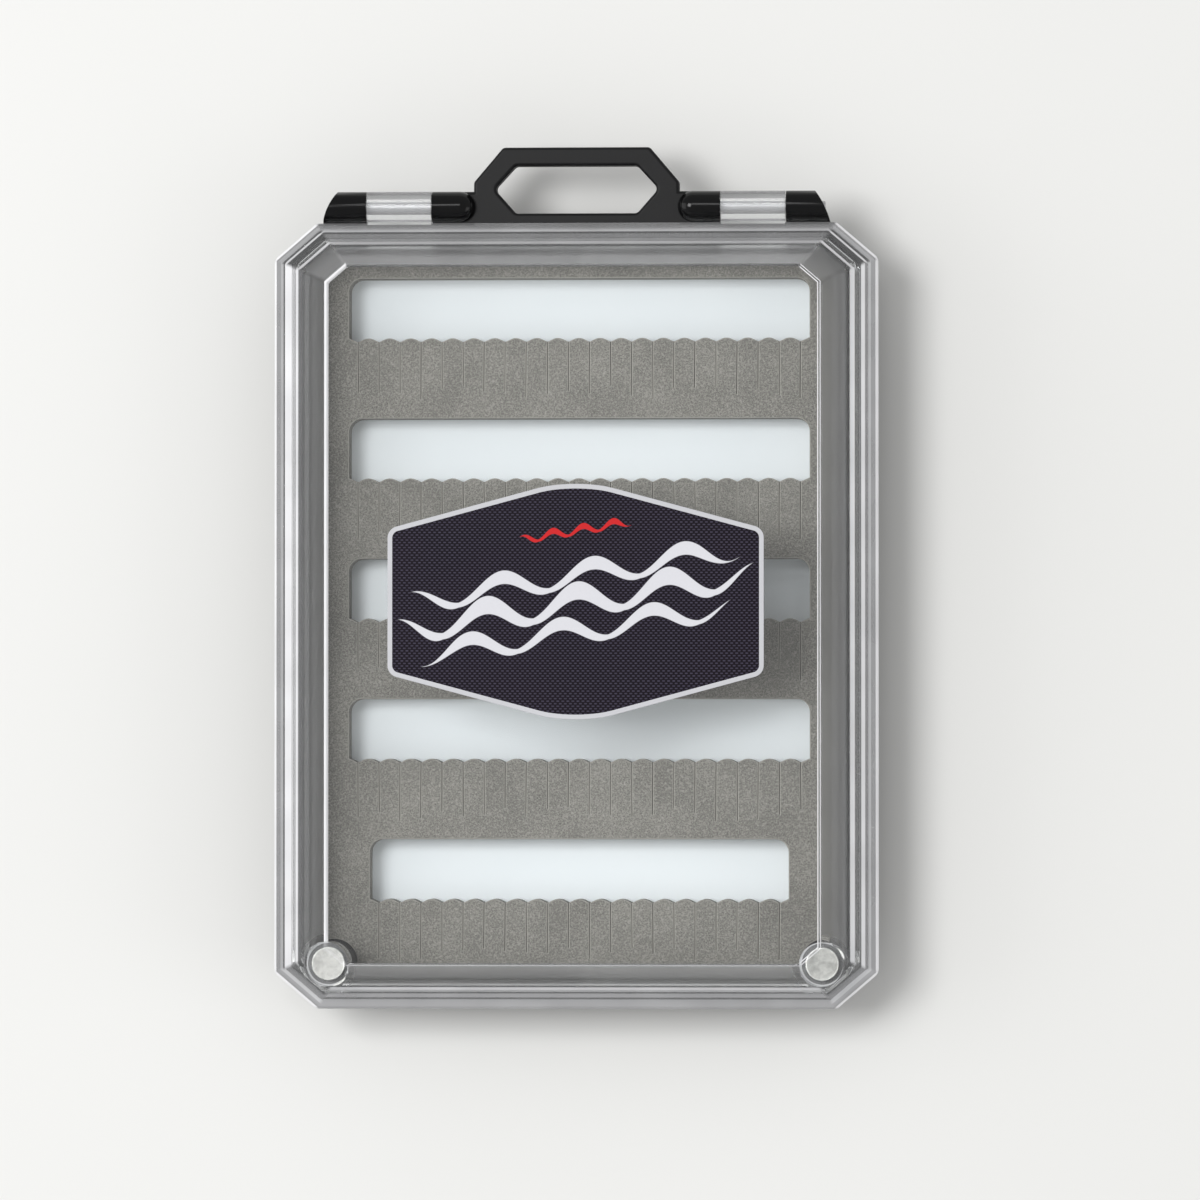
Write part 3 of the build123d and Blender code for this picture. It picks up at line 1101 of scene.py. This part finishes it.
def rim_steps(bm):
    """The longer edges of the steps between the rim's foot and its top."""
    return [
        e
        for e in corners(bm, 20.0)
        if e.calc_length() > 1.2 * MM
        and min(v.co.z for v in e.verts) > PARTING_Z + RIM_FOOT * MM
        and max(v.co.z for v in e.verts) < PARTING_Z + RIM_TOP * MM
        and on_stepped_rim(e)
    ]


def pick_window(bm):
    """Gives the level faces at the top of the lid the second material."""
    for face in bm.faces:
        face.normal_update()
        flat = abs(face.normal.z) > 0.999
        high = face.calc_center_median().z > LID_HIGH.z - WINDOW_DEPTH
        face.material_index = 1 if flat and high else 0


def paint_lid(bm):
    """Marks how milky each face is, with painted highlights on the rounded edges, and which ones
    have bands of painted light or frost.
    """
    layers = bm.faces.layers.float
    haze_and_painted_light = layers.new("haze_and_painted_light")
    banded = layers.new("banded")
    frosted = layers.new("frosted")
    worn = layers["worn"]
    for face in bm.faces:
        face.normal_update()
        out = looks_out(face)
        sloped = 0.3 < face.normal.z < 0.95 and height_of(face) > SLOPE_FOOT
        face[banded] = float(out and height_of(face) < WINDOW_EDGE)
        face[haze_and_painted_light] = 0.0 if face[banded] else haze_and_edge_highlight(face, face[worn])
        face[frosted] = float(out and sloped)


class FLYBOX_OT_lid(bpy.types.Operator):
    """Dress the clear lid, cloudy with painted highlights and reflections on its walls and
    polished on its window
    """

    bl_idname = "flybox.lid"
    bl_label = "Lid"

    def execute(self, context):
        sizes = context.scene.fly_box_lid
        bm = merged_copy("lid_shell", 0.03)
        pick_window(bm)
        soften(bm, rim_steps(bm), sizes.ring_round / MM, 4)
        soften(bm, corners(bm, 32.0), sizes.edge_round / MM, 3)
        paint_lid(bm)
        tint = tuple(sizes.tint)
        materials = [
            clear_plastic("clear_walls", sizes.wall_haze_and_light, tint, True),
            clear_plastic("clear_window", sizes.pane_haze, tint, False),
        ]
        link_piece(bm, "clear_lid", "lid", materials, ["lid_shell"], 28.0)
        return {"FINISHED"}


# Pins and magnets


class FLYBOX_OT_pins(bpy.types.Operator):
    """Add the steel hinge pins"""

    bl_idname = "flybox.pins"
    bl_label = "Hinge pins"

    def execute(self, context):
        sizes = context.scene.fly_box_metal
        steel = pin_steel()
        for side in SIDES:
            node = f"hinge_pin_{side}"
            low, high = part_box(node)
            place = Matrix.Translation((low + high) / 2) @ Matrix.Rotation(pi / 2, 4, "Y")
            bm = cylinder((high.z - low.z) / 2, high.x - low.x, place, sizes.sides)
            soften(bm, corners(bm), sizes.pin_edge / MM, 4)
            link_piece(bm, f"steel_pin_{side}", "base", [steel], [node])
        return {"FINISHED"}


class FLYBOX_OT_magnets(bpy.types.Operator):
    """Add the plated magnets in the lid's bosses and the tray's posts"""

    bl_idname = "flybox.magnets"
    bl_label = "Magnets"

    def execute(self, context):
        sizes = context.scene.fly_box_metal
        plate = nickel_plate()
        for half in ("lid", "base"):
            for side in SIDES:
                node = f"{half}_magnet_{side}"
                low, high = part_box(node)
                place = Matrix.Translation((low + high) / 2)
                bm = cylinder((high.x - low.x) / 2, high.z - low.z, place, sizes.sides)
                soften(bm, corners(bm), sizes.magnet_edge / MM, 4)
                link_piece(bm, f"{half}_disc_{side}", half, [plate], [node])
        return {"FINISHED"}


# Foam and backing

# Cuts of the sheets' back corners, and the radius of the hollows round the posts.
SHEET_CUT_X, SHEET_CUT_Y = 5.7 * MM, 4.9 * MM
HOLLOW_RADIUS = 7.0 * MM

# Share of the usual gap that a slit stands open, and how far its foot and lean stray in mm.
SLIT_OPENING = (0.35, 1.0)
SLIT_STRAY = (-2.6, 1.8)
SLIT_LEAN = (-0.15, 0.15)

# Rounds of a slot's far corners and crests, how far its sides reach below the crests, and
# what still counts as one line.
SLOT_CORNER, CREST_ROUND = 4.0 * MM, 1.5 * MM
SLOT_SIDE_DROP = 0.3 * MM
SAME_LINE = 0.05 * MM


def sheet_line(bm, low, high, z):
    """Outline of a sheet in the tray: back corners cut, front ones hollowed round the posts."""
    post = Vector((BOSS.x, BOSS.y, z))
    meet_x = post.x - sqrt(HOLLOW_RADIUS**2 - (post.y - low.y) ** 2)
    meet_y = post.y + sqrt(HOLLOW_RADIUS**2 - (high.x - post.x) ** 2)
    start = bm.verts.new((meet_x, low.y, z))
    swing = atan2(meet_y - post.y, high.x - post.x) - atan2(low.y - post.y, meet_x - post.x)
    bmesh.ops.spin(
        bm,
        geom=[start],
        cent=post,
        axis=(0, 0, 1),
        angle=swing - 2 * pi,
        steps=18,
        use_duplicate=False,
    )
    end = nearest(bm.verts, (high.x, meet_y, z))
    shoulder = bm.verts.new((high.x, high.y - SHEET_CUT_Y, z))
    back = bm.verts.new((high.x - SHEET_CUT_X, high.y, z))
    bm.edges.new((end, shoulder))
    bm.edges.new((shoulder, back))
    half = list(bm.verts) + list(bm.edges)
    twins = verts_in(bmesh.ops.mirror(bm, geom=half, axis="X", merge_dist=0.0))
    bm.edges.new((back, nearest(twins, (-back.co.x, back.co.y, z))))
    bm.edges.new((start, nearest(twins, (-start.co.x, start.co.y, z))))


def ripple_line(bm, sizes, start_x, count, crest_y, z):
    """Line of slits with a ripple between each two, made from one of each."""
    pitch = sizes.ripple_pitch
    half_gap = sizes.slit_gap / 2
    valley_y = crest_y - sizes.ripple_depth
    foot_y = valley_y - sizes.slit_length
    first = [
        (start_x - half_gap, valley_y),
        (start_x - half_gap, foot_y),
        (start_x + half_gap, foot_y),
        (start_x + half_gap, valley_y),
        (start_x + pitch / 2, crest_y),
        (start_x + pitch - half_gap, valley_y),
    ]
    verts = [bm.verts.new((x, y, z)) for x, y in first]
    edges = [bm.edges.new(pair) for pair in zip(verts, verts[1:])]
    bmesh.ops.spin(
        bm,
        geom=verts + edges,
        cent=(0, 0, 0),
        axis=(0, 0, 1),
        dvec=(pitch, 0, 0),
        angle=0,
        steps=count,
        use_duplicate=True,
    )


def vary_slits(verts, sizes, start_x, count, valley_y, chance):
    """Opens, lengthens and leans each slit a little differently."""
    for step in range(count + 1):
        middle = start_x + step * sizes.ripple_pitch
        opening = chance.uniform(*SLIT_OPENING)
        stray = chance.uniform(*SLIT_STRAY) * MM
        lean = chance.uniform(*SLIT_LEAN) * MM
        for v in verts:
            if abs(v.co.x - middle) < sizes.slit_gap:
                v.co.x = middle + (v.co.x - middle) * opening
                if v.co.y < valley_y - 1.0 * MM:
                    v.co.x += lean
                    v.co.y += stray


def add_slot(bm, sizes, half_width, crest_y, z, chance):
    """One closed line: a row of ripples and slits, the sides and two round far corners."""
    others = set(bm.verts)
    count = int(2 * half_width / sizes.ripple_pitch + 0.001)
    start_x = -count * sizes.ripple_pitch / 2
    ripple_line(bm, sizes, start_x, count, crest_y, z)
    new = [v for v in bm.verts if v not in others]
    bmesh.ops.remove_doubles(bm, verts=new, dist=0.01 * MM)
    end_x = -start_x + sizes.slit_gap
    spare = [v for v in bm.verts if v not in others and v.co.x > end_x]
    bmesh.ops.delete(bm, geom=spare, context="VERTS")
    new = [v for v in bm.verts if v not in others]
    valley_y = crest_y - sizes.ripple_depth
    vary_slits(new, sizes, start_x, count, valley_y, chance)
    crests = [v for v in new if abs(v.co.y - crest_y) < SAME_LINE]
    valleys = [v for v in new if abs(v.co.y - valley_y) < SAME_LINE]
    left = min(valleys, key=lambda v: v.co.x)
    right = max(valleys, key=lambda v: v.co.x)
    far_y = crest_y + sizes.slot_height
    sides = [
        bm.verts.new((half_width, crest_y - SLOT_SIDE_DROP, z)),
        bm.verts.new((half_width, far_y, z)),
        bm.verts.new((-half_width, far_y, z)),
        bm.verts.new((-half_width, crest_y - SLOT_SIDE_DROP, z)),
    ]
    run = [right, *sides, left]
    for pair in zip(run, run[1:]):
        bm.edges.new(pair)
    round_points(bm, sides[1:3], SLOT_CORNER, 6)
    round_points(bm, crests, CREST_ROUND, 4)


class FLYBOX_OT_foam(bpy.types.Operator):
    """Add the foam insert with its rippled slots and cut slits"""

    bl_idname = "flybox.foam"
    bl_label = "Foam insert"

    def execute(self, context):
        sizes = context.scene.fly_box_foam
        chance = random.Random(sizes.seed)
        bm = bmesh.new()
        sheet_line(bm, FOAM_LOW, FOAM_HIGH, FOAM_LOW.z)
        for row in range(sizes.slot_count):
            inset = sizes.short_inset if row == sizes.slot_count - 1 else 0
            half_width = sizes.slot_half_width - inset
            crest_y = sizes.first_crest_y - row * sizes.slot_pitch
            add_slot(bm, sizes, half_width, crest_y, FOAM_LOW.z, chance)
        fill_and_raise(bm, FOAM_HIGH.z - FOAM_LOW.z)
        soften(bm, top_corners(bm, FOAM_HIGH.z), sizes.edge_round / MM, clamp=False)
        foam = [foam_finish()]
        piece = link_piece(
            bm, "foam_block", "base", foam, ["foam_insert"], level_faces_flat=True
        )
        return {"FINISHED"}


class FLYBOX_OT_backing(bpy.types.Operator):
    """Add the white sheet under the foam"""

    bl_idname = "flybox.backing"
    bl_label = "Backing sheet"

    def execute(self, context):
        bm = bmesh.new()
        sheet_line(bm, BACKING_LOW, BACKING_HIGH, BACKING_LOW.z)
        fill_and_raise(bm, BACKING_HIGH.z - BACKING_LOW.z)
        soften(bm, corners(bm), 0.15)
        link_piece(bm, "white_sheet", "base", [backing_finish()], ["backing_sheet"])
        return {"FINISHED"}


# Label

# How far before its end and side corners the label's outline starts to curve.
CROWN_ROUND, SHOULDER_ROUND = 11.5 * MM, 2.6 * MM


class FLYBOX_OT_label(bpy.types.Operator):
    """Add the bordered label on the window"""

    bl_idname = "flybox.label"
    bl_label = "Label"

    def execute(self, context):
        sizes = context.scene.fly_box_label
        low_x, high_x = LABEL_LOW.x + 2 * sizes.centre_x, LABEL_HIGH.x
        middle = sizes.centre_y
        points = [
            (sizes.centre_x, middle + sizes.half_height),
            (high_x, middle + sizes.side_half_height),
            (high_x, middle - sizes.side_half_height),
            (sizes.centre_x, middle - sizes.half_height),
            (low_x, middle - sizes.side_half_height),
            (low_x, middle + sizes.side_half_height),
        ]
        bm = bmesh.new()
        verts = [bm.verts.new((x, y, LABEL_LOW.z)) for x, y in points]
        for pair in zip(verts, verts[1:] + verts[:1]):
            bm.edges.new(pair)
        crowns = [verts[0], verts[3]]
        shoulders = [v for v in verts if v not in crowns]
        round_points(bm, crowns, CROWN_ROUND, 14)
        round_points(bm, shoulders, SHOULDER_ROUND, 8)
        bmesh.ops.contextual_create(bm, geom=bm.edges)
        raise_sheet(bm, LABEL_HIGH.z - LABEL_LOW.z)
        field = max(bm.faces, key=lambda f: f.calc_center_median().z)
        bmesh.ops.inset_region(bm, faces=[field], thickness=sizes.border, use_even_offset=True)
        field.material_index = 1
        soften(bm, top_corners(bm, LABEL_HIGH.z), 0.12, 3)
        films = [label_border(), label_field()]
        link_piece(bm, "window_label", "lid", films, ["lid_label"])
        return {"FINISHED"}


# Panel and registration


class FLYBOX_PT_panel(bpy.types.Panel):
    """Fly box pieces and their settings"""

    bl_idname = "FLYBOX_PT_panel"
    bl_label = "Fly box"
    bl_space_type = "VIEW_3D"
    bl_region_type = "UI"
    bl_category = "Fly box"

    def draw(self, context):
        for operator, settings in PANEL_ROWS:
            box = self.layout.box()
            box.operator(operator)
            if settings:
                group = getattr(context.scene, settings)
                for name in group.__annotations__:
                    box.prop(group, name)


PANEL_ROWS = (
    ("flybox.stage", "fly_box_stage"),
    ("flybox.base", "fly_box_base"),
    ("flybox.lid", "fly_box_lid"),
    ("flybox.pins", "fly_box_metal"),
    ("flybox.magnets", None),
    ("flybox.foam", "fly_box_foam"),
    ("flybox.backing", None),
    ("flybox.label", "fly_box_label"),
)

SETTINGS = {
    "fly_box_stage": StageSettings,
    "fly_box_base": BaseSettings,
    "fly_box_lid": LidSettings,
    "fly_box_metal": MetalSettings,
    "fly_box_foam": FoamSettings,
    "fly_box_label": LabelSettings,
}

CLASSES = (
    *SETTINGS.values(),
    FLYBOX_OT_stage,
    FLYBOX_OT_base,
    FLYBOX_OT_lid,
    FLYBOX_OT_pins,
    FLYBOX_OT_magnets,
    FLYBOX_OT_foam,
    FLYBOX_OT_backing,
    FLYBOX_OT_label,
    FLYBOX_PT_panel,
)


def register():
    for item in CLASSES:
        bpy.utils.register_class(item)
    for name, settings in SETTINGS.items():
        setattr(bpy.types.Scene, name, PointerProperty(type=settings))


def unregister():
    for name in SETTINGS:
        delattr(bpy.types.Scene, name)
    for item in reversed(CLASSES):
        bpy.utils.unregister_class(item)


def main():
    register()
    bpy.ops.flybox.stage()
    bpy.ops.flybox.base()
    bpy.ops.flybox.lid()
    bpy.ops.flybox.pins()
    bpy.ops.flybox.magnets()
    bpy.ops.flybox.foam()
    bpy.ops.flybox.backing()
    bpy.ops.flybox.label()


if __name__ == "__main__":
    main()
